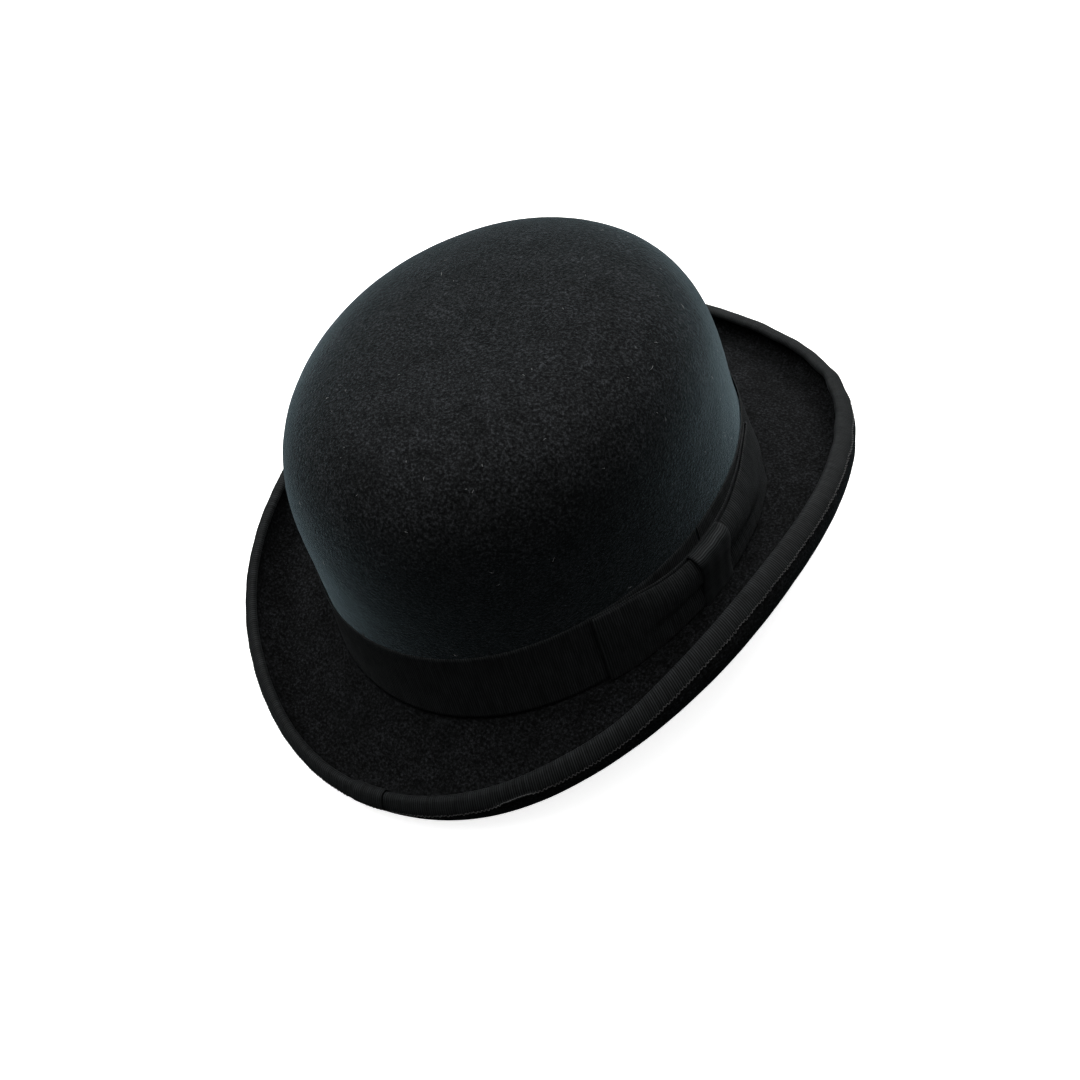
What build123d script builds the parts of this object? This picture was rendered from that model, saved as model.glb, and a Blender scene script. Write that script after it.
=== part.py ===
from build123d import *
import math
import os

# Bowler hat, head size 58. Millimetres, +Z up, front of the hat to -Y, wearer's left to +X.
# Angles run from the front of the hat to the wearer's left. Heights are measured up from the
# break, where the crown meets the brim. Depths are measured square to the felt, from the
# middle of its thickness: positive outside and on top of the brim, negative inside.

# Crown, at the middle of the felt
HALF_WIDTH = 87.9
HALF_LENGTH = 105.4
CROWN_HEIGHT = 124.9
SQUARENESS = 3.75
TAPER = 0.06
DRAW_IN = 7.9
FORWARD_LEAN = 6.7

# Height of the break, and the brim's flat, slope and roll: at the sides, front and back
BREAK_HEIGHT = (8.0, -1.4, -6.8)
FLAT = (20.0, 30.4, 45.2)
SLOPE = (5.9, -33.1, -16.2)
ROLL_RADIUS = (11.6, 10.4, 6.7)
ROLL_END = (154.5, 124.0, 166.0)
CORNER = 2.2

FELT = 2.2
GAP = 0.3

# Grosgrain ribbon: brim binding, hat band and bow
RIBBON = 0.45
BINDING_REACH = 6.2
BAND_BOTTOM = 2.0
BAND_TOP = 40.4
BOW_BOTTOM = 2.4
BOW_TOP = 41.4
BOW_PINCH = 5.4
BOW_ANGLES = (60.5, 127.0)
BOW_END_THICKNESS = 2.0
BOW_TOP_THICKNESS = 6.5
BOW_FOOT_THICKNESS = 3.0
BOW_SWELL = 0.8
BOW_SECTIONS = 12
KNOT_ANGLES = (86.5, 97.5)
KNOT_SECTIONS = 4

# Sweatband: leather, and the reed in its folded tape
LEATHER = 1.1
LEATHER_DEPTH = -3.0
LEATHER_BOTTOM = 4.8
LEATHER_TOP = 42.0
REED_DEPTH = -3.1
REED_THICKNESS = 0.9
REED_BOTTOM = 1.3
REED_TOP = 4.2
TAPE = 0.3
TAPE_TOP = 12.0
TAPE_LAP = 7.2

# Zigzag over the leather's back seam, and the small flat bow at its foot
SEAM_HALF_ANGLE = 1.1
SEAM_LENGTHS = 14
SEAM_BOTTOM = 16.2
SEAM_TOP = 40.5
SEAM_SLACK = 0.12
SMALL_BOW_HEIGHT = 11.7
SMALL_BOW_ANGLES = (0.0, 1.4, 3.0, 5.5, 8.0)
SMALL_BOW_HALF = 1.6
SMALL_BOW_FLARE = 0.45
SMALL_BOW_THICKNESS = 1.4
SMALL_KNOT_THICKNESS = 2.2

# Woven size tab beside the back seam
TAB_ANGLES = (187.0, 197.0)
TAB_HEIGHTS = (30.0, 52.0)
TAB_SECTIONS = 5

# Lining: side wall and tip
LINING = 0.3
LINING_DEPTH = -1.9
LINING_BOTTOM = 14.0
LINING_SEAM_STATION = 0.52
LINING_SEAM_GAP = 0.006
TIP_SAG = 3.0

# Sewing thread, and the gap that keeps it clear of what it lies on
THREAD = 0.25
THREAD_GAP = 0.12
STITCH_PITCH = 4.5
STITCH_SHARE = 0.62
FELLING_PITCH = 7.0
TACK_ANGLES = (0, 180, 225, 270, 315)
TACK_HALF_ANGLE = 0.6
BOW_BARS = 3
BOW_BAR_ANGLE = 1.2
BOW_BAR_MARGIN = 2.0

LOOP_POINTS = 48
CROWN_ROWS = 24
CORNER_ROWS = 4
BRIM_ROWS = 16
EDGE_ROWS = 4
BINDING_ROWS = 8
STRIP_ROWS = 8
LINING_ROWS = 14
TIP_ROWS = 12
STEP = 0.001


def around(angle, side, front, back):
    """Value at an angle, eased between the side, front and back values."""
    c = math.cos(angle)
    ends = front * (1 + c) / 2 + back * (1 - c) / 2
    return side * (1 - c * c) + ends * c * c


def crown(angle, rise):
    """Middle of the crown felt: rise runs from 0 at the break to 1 at the top."""
    shrink = max(1 - min(rise, 1) ** SQUARENESS, 0) ** (1 / SQUARENESS)
    draw = DRAW_IN * math.sin(math.pi * rise) * math.sqrt(shrink)
    half_width = HALF_WIDTH * shrink * (1 + TAPER * rise) - draw
    half_length = HALF_LENGTH * shrink * (1 + TAPER * rise) - draw
    return Vector(
        half_width * math.sin(angle),
        -half_length * math.cos(angle) - FORWARD_LEAN * rise,
        CROWN_HEIGHT * rise + around(angle, *BREAK_HEIGHT) * (1 - rise),
    )


def outward(angle):
    """Horizontal direction square to the break line."""
    return Vector(HALF_LENGTH * math.sin(angle), -HALF_WIDTH * math.cos(angle), 0).normalized()


def brim_length(angle):
    roll = math.radians(around(angle, *ROLL_END) - around(angle, *SLOPE))
    return around(angle, *FLAT) + around(angle, *ROLL_RADIUS) * roll


def brim(angle, run):
    """Middle of the brim felt at a distance along it from the break: a flat, then a roll."""
    slope = math.radians(around(angle, *SLOPE))
    radius = around(angle, *ROLL_RADIUS)
    flat = around(angle, *FLAT)
    turn = slope + max(run - flat, 0) / radius
    reach = min(run, flat) * math.cos(slope) + radius * (math.sin(turn) - math.sin(slope))
    climb = min(run, flat) * math.sin(slope) + radius * (math.cos(slope) - math.cos(turn))
    return crown(angle, 0) + outward(angle) * reach + Vector(0, 0, climb)


def felt(angle, station):
    """Middle of the felt. Stations: 0 crown top, 1 to 2 corner at the break, 3 brim edge."""
    if station <= 1:
        tilt = station * math.atan2(CROWN_HEIGHT, CORNER)
        sides = math.sin(tilt) ** SQUARENESS + math.cos(tilt) ** SQUARENESS
        return crown(angle, math.cos(tilt) / sides ** (1 / SQUARENESS))
    if station <= 2:
        u = station - 1
        foot = crown(angle, CORNER / CROWN_HEIGHT)
        bend = crown(angle, 0)
        return foot * (1 - u) ** 2 + bend * (2 * u * (1 - u)) + brim(angle, CORNER) * u ** 2
    return brim(angle, CORNER + (station - 2) * (brim_length(angle) - CORNER))


def square_to_felt(angle, station):
    along = felt(angle, station + STEP) - felt(angle, station - STEP)
    sideways = felt(angle + STEP, station) - felt(angle - STEP, station)
    return along.cross(sideways).normalized()


def felt_layer(angle, station, depth):
    """Point at a depth from the middle of the felt."""
    return felt(angle, station) + square_to_felt(angle, station) * depth


def brim_edge(angle, reach, depth, spread=0.0):
    """Point near the brim edge: reach back from it along the felt, spread past it."""
    station = 3 - reach / (brim_length(angle) - CORNER)
    along = (felt(angle, 3) - felt(angle, 3 - STEP)).normalized()
    return felt_layer(angle, station, depth) + along * spread


def beside_wall(angle, height, depth):
    """Point beside the crown wall, in the upright plane square to the break."""
    start = crown(angle, 0)
    climb = crown(angle, height / CROWN_HEIGHT) - start
    out = outward(angle)
    return start + out * (climb.dot(out) + depth) + Vector(0, 0, climb.Z)


def closed_loop(point):
    """Smooth closed curve round the hat through point(angle)."""
    turns = [2 * math.pi * i / LOOP_POINTS for i in range(LOOP_POINTS)]
    return Edge.make_spline([point(angle) for angle in turns], periodic=True)


def ring(points):
    """Closed ring whose section has the given corner functions, in order round the section."""
    loops = [closed_loop(point) for point in points]
    sides = zip(loops, loops[1:] + loops[:1])
    faces = [Face.make_surface_from_curves(first, second) for first, second in sides]
    return upright(Solid(Shell(Face.sew_faces(faces)[0])))


def cap(top, loops, bottom):
    """Dome closed by a point at its outer and its inner pole."""
    sections = [Vertex(*top)] + [Wire([closed_loop(loop)]) for loop in loops] + [Vertex(*bottom)]
    return upright(Solid.make_loft(sections, ruled=True))


def upright(solid):
    """Solid with its faces turned outwards."""
    return solid if solid.volume > 0 else Solid(solid.wrapped.Reversed())


def wall_ring(corners):
    """Ring beside the crown wall with (height, depth) corners."""
    return ring([lambda angle, c=c: beside_wall(angle, *c) for c in corners])


def wall_strip(bottom, top, inner, outer):
    """Tall thin ring that follows the crown wall between two heights and two depths."""
    heights = spaced(bottom, top, STRIP_ROWS)
    return wall_ring([(h, inner) for h in heights] + [(h, outer) for h in reversed(heights)])


def wall_block(angles, outline):
    """Block along the crown wall: outline(angle) gives the (height, depth) corners."""
    wires = []
    for degrees in angles:
        angle = math.radians(degrees)
        corners = [beside_wall(angle, *corner) for corner in outline(degrees)]
        wires.append(Wire.make_polygon(corners, close=True))
    return upright(Solid.make_loft(wires, ruled=True))


def spaced(first, last, count):
    return [first + (last - first) * i / (count - 1) for i in range(count)]


def stitch(start, end):
    """Straight length of thread between two points."""
    run = end - start
    return Solid.make_cylinder(THREAD, run.length, Plane(origin=start, z_dir=run.normalized()))


def stitch_row(point, pitch):
    """Running stitches round the hat along point(angle)."""
    girth = closed_loop(point).length
    count = round(girth / pitch)
    step = 2 * math.pi / count
    return Compound([stitch(point(i * step), point((i + STITCH_SHARE) * step)) for i in range(count)])


def felt_body():
    half = FELT / 2
    crown_rows = [i / CROWN_ROWS for i in range(1, CROWN_ROWS)]
    corner_rows = [1 + i / CORNER_ROWS for i in range(CORNER_ROWS)]
    brim_rows = [2 + i / BRIM_ROWS for i in range(BRIM_ROWS + 1)]
    rows = crown_rows + corner_rows + brim_rows
    outer = [lambda a, s=s: felt_layer(a, s, half) for s in rows]
    inner = [lambda a, s=s: felt_layer(a, s, -half) for s in reversed(rows)]
    turns = [math.pi * i / EDGE_ROWS for i in range(1, EDGE_ROWS)]
    edge = [
        lambda a, t=t: brim_edge(a, 0, half * math.cos(t), half * math.sin(t))
        for t in turns
    ]
    top = crown(0, 1)
    rise = Vector(0, 0, half)
    return cap(top + rise, outer + edge + inner, top - rise)


def brim_binding():
    """Ribbon folded over the brim edge, with a turned outer and inner face."""
    inside = FELT / 2 + GAP
    outside = inside + RIBBON
    reaches = spaced(BINDING_REACH, 0, BINDING_ROWS)
    turns = [math.pi * i / EDGE_ROWS for i in range(1, EDGE_ROWS)]

    def face(depth):
        return [lambda a, r=r: brim_edge(a, r, depth) for r in reaches]

    def fold(radius):
        return [
            lambda a, t=t: brim_edge(a, 0, radius * math.cos(t), radius * math.sin(t))
            for t in turns
        ]

    outer = face(outside) + fold(outside) + face(-outside)[::-1]
    inner = face(-inside) + fold(inside)[::-1] + face(inside)[::-1]
    return ring(outer + inner)


def binding_stitches():
    """Felling stitches that catch the selvedge on top of the brim to the felt."""
    depth = FELT / 2 + THREAD + THREAD_GAP
    reach = BINDING_REACH + THREAD + THREAD_GAP
    return stitch_row(lambda a: brim_edge(a, reach, depth), FELLING_PITCH)


def hat_band():
    inner = FELT / 2 + GAP
    return wall_strip(BAND_BOTTOM, BAND_TOP, inner, inner + RIBBON)


def band_face():
    """Depth of the first surface clear of the band."""
    return FELT / 2 + GAP + RIBBON + GAP


def bow_swell(degrees):
    """1 under the middle of the knot, falling to 0 at the folded end of either wing."""
    front, back = BOW_ANGLES
    middle = sum(KNOT_ANGLES) / 2
    end = front if degrees < middle else back
    return (1 - (degrees - middle) / (end - middle)) ** BOW_SWELL


def bow_section(degrees):
    """Height of the bow's top, and its thickness there and at its foot."""
    swell = bow_swell(degrees)
    height = BOW_TOP - BOW_PINCH * swell ** 2
    top = BOW_END_THICKNESS + (BOW_TOP_THICKNESS - BOW_END_THICKNESS) * swell
    foot = BOW_END_THICKNESS + (BOW_FOOT_THICKNESS - BOW_END_THICKNESS) * swell
    return height, top, foot


def bow_outline(degrees):
    height, top, foot = bow_section(degrees)
    face = band_face()
    return [
        (BOW_BOTTOM, face),
        (height, face),
        (height, face + top / 2),
        (height - top / 2, face + top),
        (BOW_BOTTOM, face + foot),
    ]


def bow_loop():
    """Flattened ribbon loop: a front wing and a back wing, gathered under the knot."""
    return wall_block(spaced(*BOW_ANGLES, BOW_SECTIONS), bow_outline)


def knot_outline(degrees):
    """C-shaped section of the strap: over the top of the loop, down its face and under it."""
    height, top, foot = bow_section(sum(KNOT_ANGLES) / 2)
    face = band_face()
    clear_top = max(bow_section(edge)[0] for edge in KNOT_ANGLES) + GAP
    clear_foot = BOW_BOTTOM - GAP
    reach = face + top + GAP
    low_reach = face + foot + GAP
    return [
        (clear_top, face),
        (clear_top + 2 * RIBBON, face),
        (clear_top + 2 * RIBBON, reach + 2 * RIBBON),
        (clear_foot, low_reach + 2 * RIBBON),
        (clear_foot, low_reach),
        (clear_top, reach),
    ]


def bow_knot():
    return wall_block(spaced(*KNOT_ANGLES, KNOT_SECTIONS), knot_outline)


def bow_stitches():
    """Thread bars that hold the foot of the knot to the felt."""
    depth = band_face() + THREAD
    height = BOW_BOTTOM - 2 * GAP - THREAD
    bars = []
    first_bar = KNOT_ANGLES[0] + BOW_BAR_MARGIN
    last_bar = KNOT_ANGLES[1] - BOW_BAR_MARGIN - BOW_BAR_ANGLE
    for start in spaced(first_bar, last_bar, BOW_BARS):
        first, last = math.radians(start), math.radians(start + BOW_BAR_ANGLE)
        bars.append(stitch(beside_wall(first, height, depth), beside_wall(last, height, depth)))
    return Compound(bars)


def band_tacks():
    """Small stitches over the top edge of the band, at the front, the back and the far side."""
    depth = FELT / 2 + THREAD + THREAD_GAP
    height = BAND_TOP + THREAD + THREAD_GAP
    tacks = []
    for degrees in TACK_ANGLES:
        first = math.radians(degrees - TACK_HALF_ANGLE)
        last = math.radians(degrees + TACK_HALF_ANGLE)
        tacks.append(stitch(beside_wall(first, height, depth), beside_wall(last, height, depth)))
    return Compound(tacks)


def sweatband():
    return wall_strip(LEATHER_BOTTOM, LEATHER_TOP, LEATHER_DEPTH - LEATHER, LEATHER_DEPTH)


def sweatband_reed():
    inner = REED_DEPTH - REED_THICKNESS
    corners = [
        (REED_BOTTOM, inner),
        (REED_TOP, inner),
        (REED_TOP, REED_DEPTH),
        (REED_BOTTOM, REED_DEPTH),
    ]
    return wall_ring(corners)


def reed_tape():
    """Tape folded round the reed: a tall leg against the felt, a short one on the leather."""
    outer = LEATHER_DEPTH + GAP + TAPE
    inner = LEATHER_DEPTH - LEATHER - GAP - TAPE
    bottom = REED_BOTTOM - GAP - TAPE
    corners = [
        (TAPE_TOP, outer),
        (bottom, outer),
        (bottom, inner),
        (TAPE_LAP, inner),
        (TAPE_LAP, inner + TAPE),
        (bottom + TAPE, inner + TAPE),
        (bottom + TAPE, outer - TAPE),
        (TAPE_TOP, outer - TAPE),
    ]
    return wall_ring(corners)


def sweatband_stitches():
    """Running stitch through the tape, the leather and the felt."""
    depth = LEATHER_DEPTH - LEATHER - GAP - TAPE - THREAD_GAP - THREAD
    height = (LEATHER_BOTTOM + TAPE_LAP) / 2
    return stitch_row(lambda a: beside_wall(a, height, depth), STITCH_PITCH)


def seam_stitches():
    """Zigzag that joins the two ends of the leather at the back of the hat."""
    depth = LEATHER_DEPTH - LEATHER - THREAD_GAP - THREAD
    half = math.radians(SEAM_HALF_ANGLE)
    heights = spaced(SEAM_BOTTOM, SEAM_TOP, SEAM_LENGTHS + 1)
    zigzag = []
    for i, (low, high) in enumerate(zip(heights, heights[1:])):
        side = half if i % 2 else -half
        slack = (high - low) * SEAM_SLACK
        start = beside_wall(math.pi - side, low + slack, depth)
        end = beside_wall(math.pi + side, high - slack, depth)
        zigzag.append(stitch(start, end))
    return Compound(zigzag)


def sweatband_bow():
    """Flat ribbon bow over the foot of the leather's back seam."""
    face = LEATHER_DEPTH - LEATHER - GAP
    knot = SMALL_BOW_ANGLES[1]

    def outline(degrees):
        reach = abs(degrees - 180)
        half = SMALL_BOW_HALF + SMALL_BOW_FLARE * reach
        thick = SMALL_KNOT_THICKNESS if reach <= knot else SMALL_BOW_THICKNESS
        return [
            (SMALL_BOW_HEIGHT - half, face),
            (SMALL_BOW_HEIGHT + half, face),
            (SMALL_BOW_HEIGHT + half, face - thick),
            (SMALL_BOW_HEIGHT - half, face - thick),
        ]

    right = [180 - reach for reach in SMALL_BOW_ANGLES[:0:-1]]
    left = [180 + reach for reach in SMALL_BOW_ANGLES[1:]]
    return wall_block(right + left, outline)


def size_tab():
    """Blank woven tab, held between the leather and the lining beside the back seam."""
    outer = LINING_DEPTH - LINING - GAP
    inner = outer - TAPE
    bottom, top = TAB_HEIGHTS
    corners = [(bottom, outer), (top, outer), (top, inner), (bottom, inner)]
    return wall_block(spaced(*TAB_ANGLES, TAB_SECTIONS), lambda degrees: corners)


def lining_station(height):
    """Station on the crown felt at a height above the break."""
    low, high = 0.0, 1.0
    for _ in range(30):
        middle = (low + high) / 2
        below = felt(math.pi / 2, middle).Z - crown(math.pi / 2, 0).Z < height
        low, high = (low, middle) if below else (middle, high)
    return low


def lining_side():
    rows = spaced(lining_station(LINING_BOTTOM), LINING_SEAM_STATION, LINING_ROWS)
    outer = [lambda a, s=s: felt_layer(a, s, LINING_DEPTH) for s in rows]
    inner = [lambda a, s=s: felt_layer(a, s, LINING_DEPTH - LINING) for s in reversed(rows)]
    return ring(outer + inner)


def tip_depth(station):
    """The tip hangs a little off the felt towards its middle."""
    return LINING_DEPTH - TIP_SAG * math.cos(station / LINING_SEAM_STATION * math.pi / 2)


def lining_tip():
    edge = LINING_SEAM_STATION - LINING_SEAM_GAP
    rows = [edge * i / TIP_ROWS for i in range(1, TIP_ROWS + 1)]
    outer = [lambda a, s=s: felt_layer(a, s, tip_depth(s)) for s in rows]
    inner = [lambda a, s=s: felt_layer(a, s, tip_depth(s) - LINING) for s in reversed(rows)]
    top = crown(0, 1) + Vector(0, 0, tip_depth(0))
    return cap(top, outer + inner, top - Vector(0, 0, LINING))


def lining_stitches():
    """Seam that joins the lining's side wall to its tip."""
    depth = LINING_DEPTH - LINING - THREAD_GAP - THREAD
    return stitch_row(lambda a: felt_layer(a, LINING_SEAM_STATION, depth), STITCH_PITCH)


PIECES = [
    felt_body,
    brim_binding,
    binding_stitches,
    hat_band,
    band_tacks,
    bow_loop,
    bow_knot,
    bow_stitches,
    sweatband,
    sweatband_reed,
    reed_tape,
    sweatband_stitches,
    seam_stitches,
    sweatband_bow,
    size_tab,
    lining_side,
    lining_tip,
    lining_stitches,
]


def main():
    """Build every piece, then stand the hat on its brim over the middle of its own outline."""
    shapes = {piece.__name__: piece() for piece in PIECES}
    box = Compound(list(shapes.values())).bounding_box()
    rest = Pos(-box.center().X, -box.center().Y, -box.min.Z)
    os.makedirs("parts", exist_ok=True)
    for name, shape in shapes.items():
        export_step(rest * shape, f"parts/{name}.step")
        print(name, round(shape.volume, 1), shape.is_valid)
    print("size", box.size, "shift", rest.position)


main()
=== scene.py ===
import math

import bpy
import numpy as np
from mathutils import Matrix, Vector


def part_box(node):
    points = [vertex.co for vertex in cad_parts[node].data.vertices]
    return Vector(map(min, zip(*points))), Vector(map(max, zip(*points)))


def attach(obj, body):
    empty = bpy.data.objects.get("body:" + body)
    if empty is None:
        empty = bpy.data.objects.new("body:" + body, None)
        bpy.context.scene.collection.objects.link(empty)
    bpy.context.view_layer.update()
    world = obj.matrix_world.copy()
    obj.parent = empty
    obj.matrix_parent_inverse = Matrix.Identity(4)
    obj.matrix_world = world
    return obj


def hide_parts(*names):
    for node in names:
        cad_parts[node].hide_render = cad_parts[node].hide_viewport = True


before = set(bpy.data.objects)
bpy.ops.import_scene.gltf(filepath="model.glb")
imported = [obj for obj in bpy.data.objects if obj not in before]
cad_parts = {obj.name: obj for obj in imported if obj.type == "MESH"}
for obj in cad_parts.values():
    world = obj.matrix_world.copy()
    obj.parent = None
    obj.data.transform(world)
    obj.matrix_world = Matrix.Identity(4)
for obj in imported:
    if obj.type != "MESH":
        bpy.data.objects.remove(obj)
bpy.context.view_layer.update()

# Shape functions work in millimetres, in the hat's own frame: the break lies near z = 0.
# Angles run from the front of the hat to the wearer's left.
MM = 0.001
TURN = 2 * math.pi

HALF_WIDTH = 87.9
HALF_LENGTH = 105.4
CROWN_HEIGHT = 124.9
SQUARENESS = 3.75
TAPER = 0.06
DRAW_IN = 7.9
FORWARD_LEAN = 6.7
BREAK_HEIGHT = (8.0, -1.4, -6.8)
FLAT = (20.0, 30.4, 45.2)
SLOPE = (5.9, -33.1, -16.2)
ROLL_RADIUS = (11.6, 10.4, 6.7)
ROLL_END = (154.5, 124.0, 166.0)
CORNER = 2.2
FELT = 2.2
RIBBON = 0.45

BINDING_REACH = 6.2
BINDING_LAP_ANGLE = 9.5
BINDING_OVERLAP_ANGLE = 4.0
PICOT = 0.15
PICOT_PITCH = 1.7
TUCK_ANGLES = (33.0, 41.5)
BAND_BOTTOM = 2.0
BAND_TOP = 40.4
BOW_ANGLES = (60.5, 127.0)
KNOT_ANGLES = (86.5, 97.5)
LEATHER = 1.1
LEATHER_DEPTH = -3.0
LEATHER_BOTTOM = 4.8
LEATHER_TOP = 42.0
REED_BOTTOM = 1.3
TAPE = 0.3
TAPE_TOP = 12.0
TAPE_LAP = 7.2
TAPE_RIB_PITCH = 1.6
LINING = 0.3
LINING_DEPTH = -1.9
LINING_BOTTOM = 14.0
LINING_SEAM_STATION = 0.52
TIP_SAG = 3.0

# Ribs of the ribbons: pitch, columns of points to a rib, and heights on wide and narrow ribbon
RIB_PITCH = 0.95
RIB_STEPS = 4
BAND_CORD = 0.13
FINE_CORD = 0.03
RIBBON_ROWS = 20

# Radius of the sewing thread, and points along a stitch
THREAD = 0.26
STITCH_POINTS = 25

# Brightness of the floor and backdrop, which are seen but don't light the hat; floor in metres
BACKDROP = 0.8
FLOOR_HALF = 8
FLOOR_LINES = 33

random = np.random.default_rng(58)


# ---------------------------------------------------------------- shape of the hat

def around(angle, side, front, back):
    """Value at an angle, eased between the side, front and back values."""
    c = np.cos(angle)
    return side * (1 - c * c) + (front * (1 + c) / 2 + back * (1 - c) / 2) * c * c


def point(x, y, z):
    return np.stack(np.broadcast_arrays(x, y, z), -1)


def crown(angle, rise):
    """Middle of the crown felt: rise runs from 0 at the break to 1 at the top."""
    shrink = np.maximum(1 - np.minimum(rise, 1) ** SQUARENESS, 0) ** (1 / SQUARENESS)
    draw = DRAW_IN * np.sin(math.pi * rise) * np.sqrt(shrink)
    half_width = HALF_WIDTH * shrink * (1 + TAPER * rise) - draw
    half_length = HALF_LENGTH * shrink * (1 + TAPER * rise) - draw
    height = CROWN_HEIGHT * rise + around(angle, *BREAK_HEIGHT) * (1 - rise)
    return point(half_width * np.sin(angle), -half_length * np.cos(angle) - FORWARD_LEAN * rise, height)


def outward(angle):
    """Horizontal direction square to the break line."""
    way = point(HALF_LENGTH * np.sin(angle), -HALF_WIDTH * np.cos(angle), 0 * angle)
    return way / np.linalg.norm(way, axis=-1, keepdims=True)


def brim_length(angle):
    """Length of the brim from the break: its hand-curled edge is curled a little less at a few places."""
    roll = np.radians(around(angle, *ROLL_END) - around(angle, *SLOPE))
    less = 1.2 * np.exp(-((angle % TURN - 0.98) / 0.15) ** 2) + 0.25 * np.sin(7 * angle + 1.0)
    return around(angle, *FLAT) + around(angle, *ROLL_RADIUS) * roll - less


def hand_waver(angle):
    """Slight unevenness of a hand-curled edge, mostly behind the wearer's left."""
    slow = 0.30 * np.sin(5 * angle + 0.6) + 0.22 * np.sin(9 * angle + 2.1)
    kinks = 0.28 * np.sin(31 * angle) + 0.20 * np.sin(47 * angle + 1.0)
    return slow + kinks * np.exp(-((angle % TURN - 2.6) / 0.45) ** 2)


def brim(angle, run):
    """Middle of the brim felt at a distance along it from the break: a flat, then a roll."""
    angle, run = np.broadcast_arrays(angle, run)
    slope = np.radians(around(angle, *SLOPE))
    radius = around(angle, *ROLL_RADIUS)
    flat = around(angle, *FLAT)
    turn = slope + np.maximum(run - flat, 0) / radius
    flat_run = np.minimum(run, flat)
    reach = flat_run * np.cos(slope) + radius * (np.sin(turn) - np.sin(slope))
    climb = flat_run * np.sin(slope) + radius * (np.cos(slope) - np.cos(turn))
    waver = hand_waver(angle) * np.clip(run / brim_length(angle), 0, 1.2) ** 3
    lift = point(0, 0, climb + 0.5 * waver)
    return crown(angle, 0 * run) + outward(angle) * (reach + waver)[..., None] + lift


def felt(angle, station):
    """Middle of the felt. Stations: 0 crown top, 1 to 2 corner at the break, 3 brim edge."""
    angle, station = np.broadcast_arrays(angle, station)
    tilt = np.clip(station, 0, 1) * math.atan2(CROWN_HEIGHT, CORNER)
    sides = np.sin(tilt) ** SQUARENESS + np.cos(tilt) ** SQUARENESS
    dome = crown(angle, np.cos(tilt) / sides ** (1 / SQUARENESS))
    u = np.clip(station - 1, 0, 1)[..., None]
    foot = crown(angle, 0 * station + CORNER / CROWN_HEIGHT)
    bend = crown(angle, 0 * station)
    corner = foot * (1 - u) ** 2 + bend * (2 * u * (1 - u)) + brim(angle, CORNER) * u ** 2
    run = CORNER + (station - 2) * (brim_length(angle) - CORNER)
    outer = brim(angle, np.maximum(run, CORNER))
    return np.where(station[..., None] <= 1, dome, np.where(station[..., None] <= 2, corner, outer))


def unit(way):
    return way / np.maximum(np.linalg.norm(way, axis=-1, keepdims=True), 1e-12)


def square_to_felt(angle, station, step=0.001):
    along = felt(angle, station + step) - felt(angle, station - step)
    sideways = felt(angle + step, station) - felt(angle - step, station)
    return unit(np.cross(along, sideways))


def felt_layer(angle, station, depth):
    angle, station, depth = np.broadcast_arrays(angle, station, depth)
    return felt(angle, station) + square_to_felt(angle, station) * depth[..., None]


def edge_layer(angle, reach, depth, spread=0.0):
    """Point near the brim edge: reach back from it along the felt, spread past it."""
    angle, reach, depth, spread = np.broadcast_arrays(angle, reach, depth, spread)
    station = 3 - reach / (brim_length(angle) - CORNER)
    along = unit(felt(angle, 3 + 0 * reach) - felt(angle, 2.999 + 0 * reach))
    return felt_layer(angle, station, depth) + along * spread[..., None]


def beside_wall(angle, height, depth):
    """Point beside the crown wall, in the upright plane square to the break."""
    angle, height, depth = np.broadcast_arrays(angle, height, depth)
    start = crown(angle, 0 * height)
    climb = crown(angle, height / CROWN_HEIGHT) - start
    out = outward(angle)
    reach = (climb * out).sum(-1) + depth
    return start + out * reach[..., None] + point(0, 0, climb[..., 2])


def wall_line(height, depth):
    """Line round the crown wall, as a function of the angle."""
    return lambda angle: beside_wall(angle, height, depth)


def rest_shift():
    """From the hat's own frame to the library's, where the hat stands on its brim."""
    low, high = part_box("felt_body")
    top = CROWN_HEIGHT + FELT / 2
    angle = np.linspace(0, TURN, 721)
    sides = [felt_layer(angle, station, FELT / 2)[:, 1] for station in np.linspace(2.6, 3, 21)]
    middle = (np.min(sides) + np.max(sides)) / 2
    return np.array([0, (low[1] + high[1]) / 2 / MM - middle, high[2] / MM - top])


SHIFT = rest_shift()


# ---------------------------------------------------------------- meshes

def piece(name, points, faces, node_material, replaces=(), cloth=None):
    """Mesh object from points in the hat's frame, riding on the frame's one body. cloth holds
    the points' flat coordinates, in metres."""
    mesh = bpy.data.meshes.new(name)
    mesh.from_pydata((points + SHIFT) * MM, [], faces)
    if cloth is not None:
        layer = mesh.uv_layers.new(name="cloth")
        corners = np.empty(len(mesh.loops), dtype=np.int32)
        mesh.loops.foreach_get("vertex_index", corners)
        layer.data.foreach_set("uv", cloth[corners].astype(np.float32).ravel())
    mesh.polygons.foreach_set("use_smooth", np.ones(len(mesh.polygons), dtype=bool))
    mesh.materials.append(node_material)
    mesh.update()
    thing = bpy.data.objects.new(name, mesh)
    bpy.context.scene.collection.objects.link(thing)
    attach(thing, "root")
    if replaces:
        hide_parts(*replaces)
    return thing


def grid_faces(rows, columns, wrap_rows, wrap_columns, start=0):
    """Quads of a grid of points, stored row by row."""
    r = np.arange(rows if wrap_rows else rows - 1)
    c = np.arange(columns if wrap_columns else columns - 1)
    r, c = np.meshgrid(r, c, indexing="ij")
    r2, c2 = (r + 1) % rows, (c + 1) % columns
    quads = np.stack([r * columns + c, r2 * columns + c, r2 * columns + c2, r * columns + c2], -1)
    return (quads.reshape(-1, 4) + start).tolist()


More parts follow.
